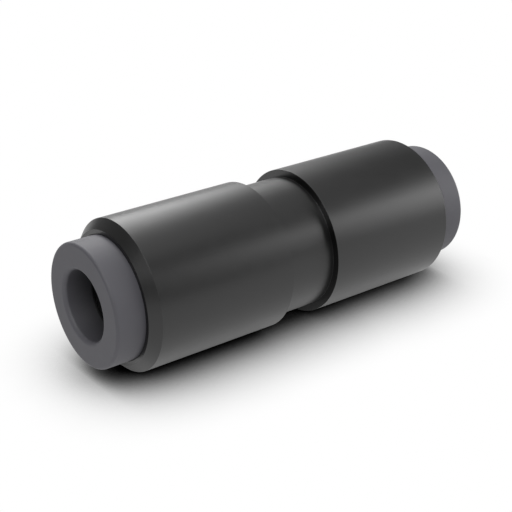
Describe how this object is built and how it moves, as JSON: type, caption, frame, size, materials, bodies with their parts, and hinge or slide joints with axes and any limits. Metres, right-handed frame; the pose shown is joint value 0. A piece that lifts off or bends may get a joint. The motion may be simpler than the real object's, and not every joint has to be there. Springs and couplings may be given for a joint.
{
  "type": "straight push-fit connector",
  "caption": "Straight push-fit connector: a cylindrical housing with a shallow waist and a sprung release button at each end, which grips and seals a plain tube in each port.",
  "frame": {"origin": "on the axis, in the plane of the far release button's face, on which the connector stands", "axes": "+Z along the axis of both tubes, out of the near port"},
  "size_m": [0.014, 0.014, 0.0405],
  "materials": {
    "housing_resin": "black moulded resin with a soft sheen",
    "button_resin": "grey moulded acetal, satin",
    "guide_metal": "turned stainless steel",
    "claw_steel": "stamped spring steel",
    "collet_resin": "black moulded resin",
    "seal_rubber": "black nitrile rubber"
  },
  "bodies": {
    "housing": {"housing": "housing_resin", "near_guide_ring": "guide_metal", "near_chuck": "claw_steel", "near_collet": "collet_resin", "near_seal": "seal_rubber", "far_guide_ring": "guide_metal", "far_chuck": "claw_steel", "far_collet": "collet_resin", "far_seal": "seal_rubber"},
    "near_button": {"near_release_button": "button_resin"},
    "far_button": {"far_release_button": "button_resin"}
  },
  "joints": [
    {"name": "near_button_press", "type": "slide", "parent": "housing", "child": "near_button", "axis": [0, 0, -1], "range_m": [0, 0.0011], "stiffness_N_per_m": 400, "springref_m": -0.001, "deforming": ["near_chuck"]},
    {"name": "far_button_press", "type": "slide", "parent": "housing", "child": "far_button", "axis": [0, 0, 1], "range_m": [0, 0.0011], "stiffness_N_per_m": 400, "springref_m": -0.001, "deforming": ["far_chuck"]}
  ]
}
